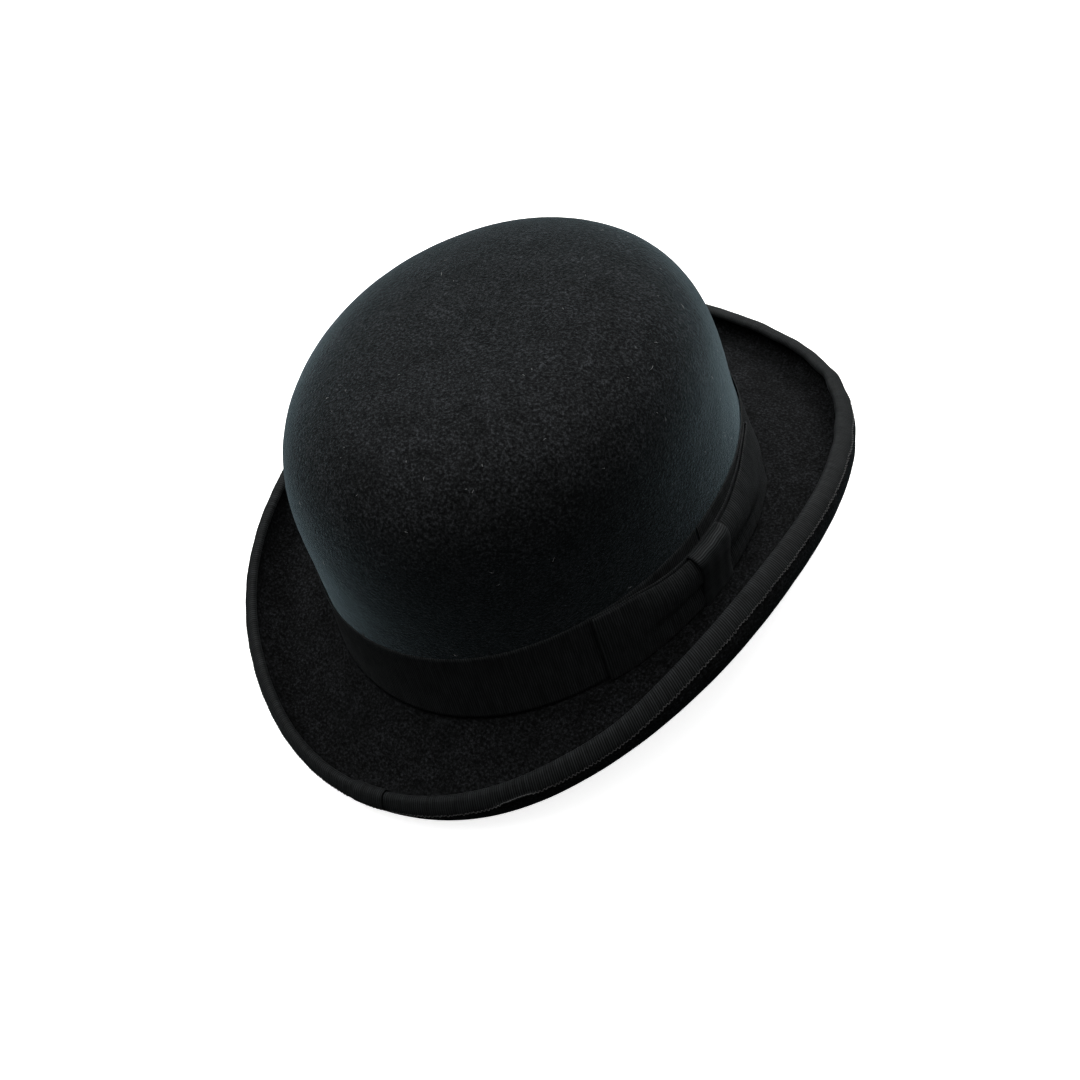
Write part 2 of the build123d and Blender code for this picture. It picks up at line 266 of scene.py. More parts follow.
def grid_normals(middle, wrap):
    """Normals of a grid of points; wrap joins its last column to its first."""
    if wrap:
        padded = np.concatenate([middle[:, -1:], middle, middle[:, :1]], 1)
        along = padded[:, 2:] - padded[:, :-2]
    else:
        along = np.gradient(middle, axis=1)
    across = np.gradient(middle, axis=0)
    return unit(np.cross(along, across))


def ribs(columns, height):
    """Rounded cross ribs: one height per column, a little uneven from rib to rib."""
    phase = np.arange(columns) % RIB_STEPS / RIB_STEPS
    cord = np.sqrt(np.maximum(1 - (2 * phase - 1) ** 2, 0))
    count = columns // RIB_STEPS + 1
    each = np.repeat(random.uniform(0.7, 1.15, count), RIB_STEPS)[:columns]
    return height * cord * each


def ribbon_selvedges(rows, columns, coarse, wrap):
    """Faces of the two long edges: one to a rib, from the fine face to the coarse back."""
    start, last = rows * columns, (rows - 1) * columns
    faces = []
    for k in range(coarse if wrap else coarse - 1):
        front = [(k * RIB_STEPS + i) % columns for i in range(RIB_STEPS + 1)]
        rear = [start + k, start + (k + 1) % coarse]
        faces.append(front[::-1] + rear)
        rear = [start + (rows - 1) * coarse + (k + i) % coarse for i in (1, 0)]
        faces.append([last + i for i in front] + rear)
    return faces


def ribbon_cut_ends(rows, columns, coarse):
    """Faces that close the two ends of a ribbon that doesn't join up with itself."""
    start = rows * columns
    faces = []
    for r in range(rows - 1):
        rears = [start + (r + 1) * coarse, start + r * coarse]
        faces.append([r * columns, (r + 1) * columns] + rears)
        rears = [start + (r + 1) * coarse - 1, start + (r + 2) * coarse - 1]
        faces.append([(r + 2) * columns - 1, (r + 1) * columns - 1] + rears)
    return faces


def ribbon_cloth(middle):
    """Flat coordinates of a ribbon's points: one millimetre to a rib along it, true size across."""
    widths = np.linalg.norm(np.diff(middle[:, 0], axis=0), axis=-1)
    across = np.concatenate([[0], np.cumsum(widths)]) * MM
    cloth = np.stack(np.meshgrid(np.arange(middle.shape[1]) / RIB_STEPS * MM, across), -1)
    return np.concatenate([cloth.reshape(-1, 2), cloth[:, ::RIB_STEPS].reshape(-1, 2)], 0)


def ribbon(name, middle, cord, node_material, replaces=(), wrap=False, thickness=RIBBON):
    """Closed ribbon: rows run across the middle surface, columns along it. cord is the ribs'
    height on its face; the back has one column to a rib."""
    rows, columns = middle.shape[:2]
    normal = grid_normals(middle, wrap)
    edge = np.ones((rows, 1))
    edge[[0, -1]] = 0.6
    half = thickness / 2 * edge
    cord = np.broadcast_to(cord, (rows, columns))
    face = middle + normal * (half + cord)[..., None]
    back = (middle - normal * half[..., None])[:, ::RIB_STEPS]
    coarse = back.shape[1]
    points = np.concatenate([face.reshape(-1, 3), back.reshape(-1, 3)], 0)
    faces = [quad[::-1] for quad in grid_faces(rows, columns, False, wrap)]
    faces += grid_faces(rows, coarse, False, wrap, rows * columns)
    faces += ribbon_selvedges(rows, columns, coarse, wrap)
    if not wrap:
        faces += ribbon_cut_ends(rows, columns, coarse)
    return piece(name, points, faces, node_material, replaces, ribbon_cloth(middle))


def undulation(points, size, height):
    """Slow unevenness of blocked felt, as a height over points."""
    total = 0
    for k in range(5):
        way = random.normal(size=3)
        way /= np.linalg.norm(way)
        phase = random.uniform(0, TURN)
        total = total + np.sin(points @ way * TURN / (size * (0.7 + 0.2 * k)) + phase)
    return total * height / 5


def smooth(value):
    value = np.clip(value, 0, 1)
    return value * value * (3 - 2 * value)


def spline_through(points, count, closed=False):
    """Catmull-Rom curve through a short list of points, sampled count times."""
    points = np.array(points, dtype=float)
    total = len(points) if closed else len(points) - 1
    at = np.linspace(0, total, count, endpoint=not closed)
    k = np.minimum(at.astype(int), total - 1)
    t = (at - k)[:, None]

    def pick(i):
        return points[i % len(points)] if closed else points[np.clip(i, 0, len(points) - 1)]

    a, b, c, d = pick(k - 1), pick(k), pick(k + 1), pick(k + 2)
    square = (2 * a - 5 * b + 4 * c - d) * t ** 2
    cube = (3 * b - a - 3 * c + d) * t ** 3
    return 0.5 * (2 * b + (c - a) * t + square + cube)


def even_angles(curve, first, last, pitch=RIB_PITCH):
    """Angles at even lengths along curve(angle), RIB_STEPS to each rib of that pitch."""
    fine = np.linspace(first, last, 4001)
    steps = np.linalg.norm(np.diff(curve(fine), axis=0), axis=-1)
    along = np.concatenate([[0], np.cumsum(steps)])
    count = int(round(along[-1] / pitch)) * RIB_STEPS + 1
    return np.interp(np.linspace(0, along[-1], count), along, fine)


def tubes(name, paths, radius, sides, node_material, replaces=(), twist=0.0):
    """Closed threads or fibres: paths is (threads, points, 3) and radius one value per point.
    A twist, in turns from end to end, gives each thread two plies."""
    threads, count = paths.shape[:2]
    along = unit(np.gradient(paths, axis=1))
    helper = np.where(np.abs(along[..., 2:]) < 0.9, [0.0, 0.0, 1.0], [1.0, 0.0, 0.0])
    side = unit(np.cross(along, helper))
    up = np.cross(along, side)
    turn = np.arange(sides) * TURN / sides
    spin = np.linspace(0, twist * TURN, count)[:, None]
    plies = 1 + (0.16 * np.cos(2 * (turn - spin)) if twist else 0 * turn)
    size = np.broadcast_to(radius, (threads, count))[..., None] * plies
    ring = side[:, :, None] * np.cos(turn)[:, None] + up[:, :, None] * np.sin(turn)[:, None]
    points = paths[:, :, None] + ring * size[..., None]
    first = np.array(grid_faces(count, sides, False, True))
    ends = [list(range(sides))[::-1], list(range((count - 1) * sides, count * sides))]
    block = count * sides
    faces = []
    for k in range(threads):
        faces += (first[:, ::-1] + k * block).tolist()
        faces += [[i + k * block for i in end[::-1]] for end in ends]
    return piece(name, points.reshape(-1, 3), faces, node_material, replaces)


# ---------------------------------------------------------------- materials

class Surface:
    """A node material in the making; sizes are in metres on the real thing."""

    def __init__(self, name, colour, roughness, **values):
        self.material = bpy.data.materials.new(name)
        self.material.use_nodes = True
        self.nodes = self.material.node_tree.nodes
        self.links = self.material.node_tree.links
        self.shader = self.nodes["Principled BSDF"]
        self.set("Base Color", (*colour, 1))
        self.set("Roughness", roughness)
        for key, value in values.items():
            self.set(key.replace("_", " "), value)
        self.where = self.nodes.new("ShaderNodeTexCoord")
        self.last_bump = None

    def set(self, socket, value):
        self.shader.inputs[socket].default_value = value

    def noise(self, size, detail, rough, stretch=(1, 1, 1), cloth=False):
        """Mottling of one size, in the object's space or on the cloth's own coordinates."""
        mapping = self.nodes.new("ShaderNodeMapping")
        mapping.inputs["Scale"].default_value = stretch
        self.links.new(self.where.outputs["UV" if cloth else "Object"], mapping.inputs["Vector"])
        texture = self.nodes.new("ShaderNodeTexNoise")
        texture.inputs["Scale"].default_value = 1 / size
        texture.inputs["Detail"].default_value = detail
        texture.inputs["Roughness"].default_value = rough
        self.links.new(mapping.outputs["Vector"], texture.inputs["Vector"])
        return texture.outputs["Fac"]

    def creases(self, size):
        """Distance to the edges of small cells, as between the pebbles of a leather's grain."""
        texture = self.nodes.new("ShaderNodeTexVoronoi")
        texture.feature = "DISTANCE_TO_EDGE"
        texture.inputs["Scale"].default_value = 1 / size
        self.links.new(self.where.outputs["Object"], texture.inputs["Vector"])
        return texture.outputs["Distance"]

    def yarns(self, pitch, direction="Y", distortion=0.0):
        """Fine parallel yarns on the cloth's own coordinates: X along it, Y across it."""
        texture = self.nodes.new("ShaderNodeTexWave")
        texture.bands_direction = direction
        texture.inputs["Scale"].default_value = TURN / 20 / pitch
        texture.inputs["Distortion"].default_value = distortion
        self.links.new(self.where.outputs["UV"], texture.inputs["Vector"])
        return texture.outputs["Fac"]

    def weave(self, pitch, distortion):
        """Plain weave: yarns both ways, high where both are high."""
        node = self.nodes.new("ShaderNodeMath")
        node.operation = "MULTIPLY"
        for socket, direction in zip(node.inputs, "XY"):
            self.links.new(self.yarns(pitch, direction, distortion), socket)
        return node.outputs[0]

    def colours(self, factor, stops):
        """Colour ramp: stops are (position, colour)."""
        ramp = self.nodes.new("ShaderNodeValToRGB")
        elements = ramp.color_ramp.elements
        while len(elements) < len(stops):
            elements.new(0.5)
        for element, (position, colour) in zip(elements, stops):
            element.position = position
            element.color = (*colour, 1)
        self.links.new(factor, ramp.inputs["Fac"])
        return ramp.outputs["Color"]

    def multiply(self, first, second):
        """Product of two colours."""
        node = self.nodes.new("ShaderNodeMix")
        node.data_type = "RGBA"
        node.blend_type = "MULTIPLY"
        factor, *colours = [s for s in node.inputs if s.enabled]
        factor.default_value = 1.0
        for socket, value in zip(colours, (first, second)):
            self.links.new(value, socket)
        return [s for s in node.outputs if s.enabled][0]

    def paint(self, colour):
        self.links.new(colour, self.shader.inputs["Base Color"])

    def vary_roughness(self, factor, low, high):
        span = self.nodes.new("ShaderNodeMapRange")
        span.inputs["To Min"].default_value = low
        span.inputs["To Max"].default_value = high
        self.links.new(factor, span.inputs["Value"])
        self.links.new(span.outputs["Result"], self.shader.inputs["Roughness"])

    def bump(self, height, distance):
        """Relief of a depth in metres, on top of any bump made before it."""
        node = self.nodes.new("ShaderNodeBump")
        node.inputs["Strength"].default_value = 1.0
        node.inputs["Distance"].default_value = distance
        self.links.new(height, node.inputs["Height"])
        if self.last_bump:
            self.links.new(self.last_bump, node.inputs["Normal"])
        self.last_bump = node.outputs["Normal"]
        self.links.new(self.last_bump, self.shader.inputs["Normal"])


def grey(value, blue=1.0):
    """Near-neutral colour, with a little less red."""
    return (value * 0.97, value, value * blue)


def felt_material(name, base, nap):
    """Wool felt: matted fibres, mottled, with a soft nap that catches the light."""
    s = Surface(name, grey(base), 0.95, Sheen_Weight=nap, Sheen_Roughness=0.33, Specular_IOR_Level=0.03)
    s.set("Sheen Tint", (0.66, 0.90, 1.0, 1))
    mottle = s.noise(0.011, 5, 0.6)
    fleck = s.noise(0.0011, 3, 0.75)
    broad = s.colours(mottle, [(0.30, grey(base * 0.7)), (0.72, grey(base * 1.3, 1.05))])
    fine = s.colours(fleck, [(0.38, grey(0.25)), (0.53, grey(1.0)), (0.70, grey(3.2, 1.05))])
    s.paint(s.multiply(broad, fine))
    s.vary_roughness(mottle, 0.86, 1.0)
    s.bump(s.noise(0.0036, 4, 0.65), 0.00020)
    s.bump(s.noise(0.0013, 3, 0.75), 0.00042)
    s.bump(s.noise(0.0006, 2, 0.6), 0.00020)
    return s.material


def grosgrain_material(name, base, shine):
    """Ribbed silk ribbon: fine warp yarns run along it over the cross cords, with painted shade in the
    valleys between the cords and a painted highlight on their crests.
    """
    s = Surface(name, grey(base), 0.5, Sheen_Weight=0.02, Sheen_Roughness=0.4, Specular_IOR_Level=shine)
    s.set("Sheen Tint", (0.9, 0.96, 1.0, 1))
    yarn = s.yarns(0.00034, "Y", 0.6)
    cord = s.yarns(0.0010, "X")
    wear = s.noise(0.006, 4, 0.6, cloth=True)
    streak = s.noise(0.0016, 3, 0.6, (1, 0.12, 1), cloth=True)
    tone = s.colours(streak, [(0.30, grey(base * 0.6)), (0.75, grey(base * 1.6, 1.04))])
    shade = s.colours(yarn, [(0.0, grey(0.7)), (0.8, grey(1.1))])
    # Painted shade in the rib valleys and painted highlight on the rib crests, at the cord pitch
    painted_rib_shade_and_highlight = s.colours(cord, [(0.0, grey(0.12)), (0.55, grey(1.0)), (1.0, grey(1.7))])
    s.paint(s.multiply(s.multiply(tone, shade), painted_rib_shade_and_highlight))
    s.vary_roughness(wear, 0.42, 0.62)
    s.bump(yarn, 0.00006)
    s.bump(s.noise(0.0005, 3, 0.6, cloth=True), 0.00008)
    return s.material


def thread_material(name, base):
    """Spun thread, streaked by its strands."""
    s = Surface(name, grey(base), 0.6, Sheen_Weight=0.2, Specular_IOR_Level=0.4)
    strand = s.noise(0.00035, 2, 0.6)
    s.paint(s.colours(strand, [(0.3, grey(base * 0.5)), (0.75, grey(base * 1.7))]))
    s.bump(strand, 0.00005)
    return s.material


def leather_material():
    """Vegetable-tanned sweatband leather, darker in its creases, polished by wear."""
    s = Surface("sweatband_leather", (0.05, 0.034, 0.026), 0.45, Specular_IOR_Level=0.45)
    tone = s.noise(0.020, 5, 0.6)
    grain = s.creases(0.0011)
    hide = s.colours(tone, [(0.30, (0.046, 0.029, 0.021)), (0.72, (0.092, 0.060, 0.044))])
    crease = s.colours(grain, [(0.0, (0.45, 0.42, 0.40)), (0.16, (1.0, 1.0, 1.0))])
    s.paint(s.multiply(hide, crease))
    s.vary_roughness(s.noise(0.008, 4, 0.6), 0.36, 0.58)
    s.bump(grain, 0.00012)
    s.bump(s.noise(0.0006, 4, 0.6), 0.00010)
    return s.material


def satin_material():
    """Smooth warp-faced lining with a soft shine along its yarns."""
    s = Surface("lining_satin", grey(0.045), 0.34, Sheen_Weight=0.2, Specular_IOR_Level=0.55, Anisotropic=0.5)
    streak = s.noise(0.0008, 3, 0.6, (1, 0.05, 1), cloth=True)
    s.paint(s.colours(streak, [(0.30, (0.030, 0.031, 0.036)), (0.72, (0.060, 0.061, 0.068))]))
    s.vary_roughness(s.noise(0.010, 3, 0.5), 0.28, 0.42)
    s.bump(s.yarns(0.00030, "X", 0.4), 0.00002)
    s.bump(s.noise(0.004, 4, 0.5), 0.00020)
    return s.material


def tape_material():
    """Woven cotton tape, dark brown."""
    s = Surface("reed_tape", (0.05, 0.03, 0.02), 0.7, Sheen_Weight=0.3, Specular_IOR_Level=0.3)
    weave = s.weave(0.0006, 0.5)
    s.paint(s.colours(weave, [(0.0, (0.024, 0.015, 0.010)), (0.8, (0.075, 0.046, 0.030))]))
    s.bump(weave, 0.00010)
    return s.material


def reed_material():
    """Pale plastic strip, slightly clouded."""
    s = Surface("reed_plastic", (0.30, 0.27, 0.20), 0.4, Specular_IOR_Level=0.5)
    cloud = s.noise(0.006, 3, 0.5)
    s.paint(s.colours(cloud, [(0.3, (0.24, 0.21, 0.15)), (0.7, (0.36, 0.32, 0.25))]))
    s.bump(s.noise(0.0005, 3, 0.6), 0.00003)
    return s.material


def label_material():
    """Off-white woven tape, blank."""
    s = Surface("label_tape", (0.62, 0.60, 0.54), 0.75, Sheen_Weight=0.3, Specular_IOR_Level=0.3)
    weave = s.weave(0.0005, 0.4)
    s.paint(s.colours(weave, [(0.0, (0.42, 0.40, 0.35)), (0.8, (0.68, 0.66, 0.60))]))
    s.bump(weave, 0.00008)
    return s.material


FELT_CLOTH = felt_material("wool_felt", 0.0090, 0.26)
# The brim's felt is painted darker than the crown's, as painted shade, and has less nap
SHADED_BRIM_FELT = felt_material("brim_felt_painted_darker", 0.0068, 0.02)
# Two tones of one grosgrain: the band's lighter tone is painted light on the band and bow, the binding's
# darker tone is painted shade against the key light
BAND_CLOTH = grosgrain_material("band_grosgrain", 0.0175, 0.05)
BINDING_CLOTH = grosgrain_material("binding_grosgrain", 0.0125, 0.05)
PICOT_STUFF = thread_material("selvedge_silk", 0.034)
THREAD_STUFF = thread_material("sewing_thread", 0.014)
LINT_STUFF = thread_material("pale_lint", 0.30)
LEATHER_STUFF = leather_material()
SATIN_CLOTH = satin_material()
TAPE_CLOTH = tape_material()
REED_STUFF = reed_material()
LABEL_CLOTH = label_material()


# ---------------------------------------------------------------- felt

def closed_rings(name, outer, inner, top, bottom, node_material, replaces):
    """Dome from rings of points: outer rows from its pole down, inner rows back up to a pole."""
    rings = np.concatenate([outer, inner], 0)
    rows, columns = rings.shape[:2]
    points = np.concatenate([rings.reshape(-1, 3), [top, bottom]], 0)
    faces = grid_faces(rows, columns, False, True)
    pole, end = rows * columns, (rows - 1) * columns
    for c in range(columns):
        d = (c + 1) % columns
        faces.append([pole, c, d])
        faces.append([end + c, pole + 1, end + d])
    return piece(name, points, faces, node_material, replaces)


FELT_COLUMNS = 264
CROWN_ROWS = 110
CORNER_ROWS = 10
BRIM_ROWS = 60


def felt_hat():
    """Crown and brim in one closed shell; the brim takes a darker copy of the felt, its darker tone painted
    shade, with less nap.
    """
    angle = np.arange(FELT_COLUMNS) * TURN / FELT_COLUMNS
    stations = np.concatenate([
        np.linspace(first, first + 1, rows + 1)[1:]
        for first, rows in enumerate((CROWN_ROWS, CORNER_ROWS, BRIM_ROWS))
    ])[:, None]
    middle = felt(angle, stations)
    waver = undulation(middle, 55.0, 0.45) + undulation(middle, 16.0, 0.10)
    waver *= smooth(stations / 0.12)
    outer = felt_layer(angle, stations, FELT / 2 + waver)
    inner = felt_layer(angle, stations, -FELT / 2 + waver)[::-1]
    turn = np.linspace(0, math.pi, 7)[1:-1, None]
    edge = edge_layer(angle, 0, waver[-1] + FELT / 2 * np.cos(turn), FELT / 2 * np.sin(turn))
    pole = crown(np.zeros(1), np.ones(1))[0]
    half = np.array([0, 0, FELT / 2])
    rings = np.concatenate([outer, edge], 0)
    hat = closed_rings("felt_body", rings, inner, pole + half, pole - half, FELT_CLOTH, ["felt_body"])
    hat.data.materials.append(SHADED_BRIM_FELT)
    rows = np.arange(len(rings) + len(inner) - 1)
    first = CROWN_ROWS + CORNER_ROWS // 2
    on_brim = (rows >= first) & (rows < len(rings) + len(inner) - first)
    index = np.zeros(len(hat.data.polygons), dtype=np.int32)
    index[:len(rows) * FELT_COLUMNS] = np.repeat(on_brim, FELT_COLUMNS)
    hat.data.polygons.foreach_set("material_index", index)


LINT_COUNT = 110
LINT_RADIUS = 0.045
CROWN_RADIUS = 85.0
CROWN_ARC = 190.0


def lint():
    """A few pale stray fibres lying on the nap of the crown."""
    count = LINT_COUNT
    angle = random.uniform(0, TURN, count)
    station = 0.12 + 0.75 * random.uniform(0, 1, count) ** 0.7
    heading = random.uniform(0, TURN, count)
    length = random.uniform(0.5, 1.9, count) * random.choice([1, 1, 1, 1.8], count)
    t = np.linspace(-0.5, 0.5, 6)
    bow = random.uniform(-0.5, 0.5, count)[:, None] * (t ** 2 - 0.25)
    sideways = np.cos(heading)[:, None] * t - np.sin(heading)[:, None] * bow
    downwards = np.sin(heading)[:, None] * t + np.cos(heading)[:, None] * bow
    on_angle = angle[:, None] + sideways * length[:, None] / CROWN_RADIUS
    on_station = np.clip(station[:, None] + downwards * length[:, None] / CROWN_ARC, 0.02, 0.98)
    lift = 0.30 + 0.25 * np.cos(t * math.pi)
    paths = felt_layer(on_angle, on_station, FELT / 2 + lift)
    tubes("felt_lint", paths, LINT_RADIUS * (1 - 3 * t ** 2), 5, LINT_STUFF)


# ---------------------------------------------------------------- ribbons

def edge_curve(angle):
    return edge_layer(angle, 0, 0)


def binding_middle(angle, across, radius):
    """Ribbon folded over the brim edge: across is 0 at the fold, positive on the crown's side."""
    quarter = radius * math.pi / 2
    turn = np.clip(across / quarter, -1, 1) * math.pi / 2
    reach = np.maximum(np.abs(across) - quarter, 0)
    return edge_layer(angle, reach, radius * np.sin(turn), radius * np.cos(turn))


BINDING_RADIUS = FELT / 2 + 0.5
BINDING_HALF = BINDING_REACH + BINDING_RADIUS * math.pi / 2


def binding_lift(angle, across, stop):
    """How far the ribbon stands off its neat fold: its lapped end, a tuck and small puckers."""
    lap = 0.75 * smooth((angle - (stop - math.radians(7.0))) / math.radians(1.2))
    tuck = smooth((angle - math.radians(TUCK_ANGLES[0])) / 0.04)
    tuck = tuck * smooth((math.radians(TUCK_ANGLES[1]) - angle) / 0.05)
    under = -across - BINDING_RADIUS * math.pi / 2
    lifted = 1.3 * smooth((under - 4.6) / 2.2) - 0.55 * np.exp(-((under - 4.4) / 0.7) ** 2)
    pucker = 0.10 * np.sin(angle * 57 + 1.0) * np.sin(angle * 23) * smooth(under / 6)
    return lap + tuck * lifted + pucker


def brim_binding():
    start = math.radians(BINDING_LAP_ANGLE)
    angle = even_angles(edge_curve, start, start + TURN + math.radians(BINDING_OVERLAP_ANGLE))
    across = np.linspace(BINDING_HALF, -BINDING_HALF, RIBBON_ROWS)[:, None]
    radius = BINDING_RADIUS + binding_lift(angle, across, angle[-1])
    middle = binding_middle(angle, across, radius)
    fold = np.exp(-(across / 4.5) ** 2)
    cord = ribs(len(angle), 1.0) * (0.15 + 0.08 * fold)
    thing = ribbon("brim_binding", middle, cord, BINDING_CLOTH, ["brim_binding"])


def binding_picots():
    """Loops of the weft along the two selvedges of the binding."""
    start = math.radians(BINDING_LAP_ANGLE)
    for side, name in ((-1, "binding_picots_outside"), (1, "binding_picots_inside")):
        at = even_angles(edge_curve, start, math.radians(366.0), PICOT_PITCH)[::RIB_STEPS][:-1]
        step = np.diff(at).mean()
        lean = np.linspace(-0.15, 0.95, 7)
        rise = np.sin(np.linspace(0, math.pi, 7))
        angle = at[:, None] + lean * step * 0.8
        away = rise * random.uniform(0.55, 1.15, (len(at), 1))
        across = side * (BINDING_HALF - 0.45 + away)
        lift = binding_lift(angle, across, at[-1] + 1)
        radius = BINDING_RADIUS + lift + 0.16 + 0.10 * rise
        tubes(name, binding_middle(angle, across, radius), PICOT, 5, PICOT_STUFF)


def hat_band():
    """Ribbon round the foot of the crown; its ends meet under the bow."""
    start = math.radians(92.3)
    angle = even_angles(wall_line(20.0, 0.0), start, start + TURN - math.radians(0.6))
    level = 0.22 * np.sin(3 * angle + 1.2) + 0.15 * np.sin(8 * angle)
    share = np.linspace(0, 1, RIBBON_ROWS)[:, None]
    height = BAND_BOTTOM + (BAND_TOP - BAND_BOTTOM) * share + level * share
    swell = undulation(beside_wall(angle, height, 0), 40.0, 0.25) * np.sin(share * math.pi)
    selvedge = 0.10 * (np.exp(-((1 - share) / 0.03) ** 2) + np.exp(-(share / 0.03) ** 2))
    depth = FELT / 2 + 0.62 + np.maximum(swell, -0.12) + selvedge
    middle = beside_wall(angle, height, depth)
    cord = ribs(len(angle), BAND_CORD)
    thing = ribbon("hat_band", middle, cord, BAND_CLOTH, ["hat_band"])


# Sections of the bow's face as (height, depth): plain at its folded ends, pleated at the knot.
BOW_PLAIN = [
    (41.0, 3.9), (36.0, 4.5), (31.0, 4.8), (26.0, 4.9), (21.0, 4.9),
    (16.0, 4.7), (12.0, 4.4), (8.0, 4.1), (5.0, 3.9), (2.3, 3.7),
]
BOW_PLEATED = [
    (33.8, 4.8), (32.0, 6.6), (28.0, 8.0), (23.0, 7.6), (18.8, 6.4),
    (16.4, 4.5), (14.2, 3.9), (10.0, 4.5), (6.0, 4.3), (2.6, 3.6),
]
BOW_BACK_DEPTH = 2.75
BOW_ROWS = 30
BOW_RIB_PITCH = 1.0
BOW_WALL_RADIUS = 105.0


def bow_wing_share(angle):
    """1 under the knot, falling to 0 at the folded end of either wing."""
    front, back = (math.radians(a) for a in BOW_ANGLES)
    knot_front, knot_back = (math.radians(a) for a in KNOT_ANGLES)
    ahead = (angle - front) / (knot_front - front)
    behind = (back - angle) / (back - knot_back)
    return np.clip(np.minimum(ahead, behind), 0, 1)


def bow_face(angle, rows):
    """Height and depth of the bow's face, and its pleating: 1 under the knot, 0 at the ends."""
    plain = spline_through(BOW_PLAIN, rows)[:, None]
    pleated = spline_through(BOW_PLEATED, rows)[:, None]
    share = bow_wing_share(angle)
    pleat = smooth(share ** 1.15)[None, :, None]
    profile = plain * (1 - pleat) + pleated * pleat
    height, depth = profile[..., 0], profile[..., 1]
    billow = 1.1 * np.sin(math.pi * share) * np.sin(math.pi * np.linspace(0, 1, rows))[:, None]
    return height, depth + billow * np.where(angle > math.radians(92), 1.2, 0.35), pleat[..., 0]


def bow_loop():
    """One ribbon loop: its face out from the front fold to the back fold, then home behind it."""
    front, back = (math.radians(a) for a in BOW_ANGLES)
    line = wall_line(20.0, 5.0)
    out_angle = even_angles(line, front, back, BOW_RIB_PITCH)[:-1]
    home_angle = even_angles(line, back, front, BOW_RIB_PITCH)[:-1]
    angle = np.concatenate([out_angle, home_angle])
    on_face = np.arange(len(angle)) < len(out_angle)
    height, depth, pleat = bow_face(angle, BOW_ROWS)
    to_fold = np.minimum(angle - front, back - angle) * BOW_WALL_RADIUS
    fold = np.sqrt(np.clip(1 - np.maximum(1 - to_fold / 1.3, 0) ** 2, 0, 1))
    middle_depth = (depth + BOW_BACK_DEPTH) / 2
    front_depth = middle_depth + (depth - middle_depth) * fold
    back_depth = middle_depth + (BOW_BACK_DEPTH - middle_depth) * fold
    depth = np.where(on_face, front_depth, back_depth)
    flare = 0.35 * np.sin(angle * 31) * (1 - bow_wing_share(angle))
    back_height = np.linspace(1, 0, BOW_ROWS)[:, None] * (38.0 - 7.2 * pleat) + 2.6 + flare
    height = np.where(on_face, height + flare, back_height)
    middle = beside_wall(angle, height, depth)[::-1]
    cord = ribs(len(angle), BAND_CORD)
    thing = ribbon("bow_loop", middle, cord, BAND_CLOTH, ["bow_loop"], wrap=True)


# Way round the bow as (height, depth), from behind its middle over its top
KNOT_PATH = [
    (20.0, 2.5), (29.0, 2.55), (32.6, 2.9), (34.4, 4.0), (34.9, 5.8), (34.5, 7.8), (33.2, 9.3), (30.0, 9.7),
    (25.0, 9.0), (17.0, 7.2), (9.0, 5.6), (4.5, 4.9), (2.2, 4.5), (1.6, 3.6), (2.4, 2.7), (8.0, 2.5),
]


def bow_knot():
    path = spline_through(KNOT_PATH, 4000, closed=True)
    steps = np.linalg.norm(np.diff(path, axis=0, append=path[:1]), axis=-1)
    along = np.concatenate([[0], np.cumsum(steps)])
    count = int(round(along[-1] / RIB_PITCH)) * RIB_STEPS
    at = np.linspace(0, along[-1], count, endpoint=False)
    height, depth = (np.interp(at, along, np.append(path[:, k], path[0, k])) for k in (0, 1))
    first, last = (math.radians(a) for a in KNOT_ANGLES)
    across = np.linspace(-1, 1, RIBBON_ROWS)[:, None]
    pinch = 1 - 0.10 * np.sin(math.pi * np.clip(height / 34, 0, 1))
    angle = (first + last) / 2 + across * (last - first) / 2 * pinch
    face = smooth((depth - 3.2) / 2.0)
    round_face = 0.5 * (1 - across ** 2) * face + 0.12 * np.cos(across * 9) * face
    middle = beside_wall(angle, height, depth + round_face)[::-1]
    cord = ribs(count, BAND_CORD)
    thing = ribbon("bow_knot", middle, cord, BAND_CLOTH, ["bow_knot"], wrap=True)


# ---------------------------------------------------------------- inside of the hat

def sweatband():
    """Leather strip round the head opening, butted at the back; its free edge curls inwards."""
    seam = math.radians(180.25)
    angle = np.linspace(seam + TURN - math.radians(0.5), seam, 4 * 150 + 1)
    share = np.linspace(0, 1, 22)[:, None]
    level = 0.5 * np.sin(4 * angle + 0.8) * share ** 3
    height = LEATHER_BOTTOM + (LEATHER_TOP - LEATHER_BOTTOM) * share + level
    wall = beside_wall(angle, height, 0)
    swell = undulation(wall, 60.0, 0.7) * smooth(share * 2) + undulation(wall, 18.0, 0.16)
    curl = 1.3 * smooth((share - 0.86) / 0.14) ** 2
    depth = LEATHER_DEPTH - LEATHER / 2 - 0.15 - np.abs(swell) - curl
    middle = beside_wall(angle, height, depth)
    ribbon("sweatband", middle, 0.0, LEATHER_STUFF, ["sweatband"], thickness=LEATHER)


def sweatband_reed():
    """The reed keeps its CAD shape and takes a material of its own."""
    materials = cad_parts["sweatband_reed"].data.materials
    materials.clear()
    materials.append(REED_STUFF)


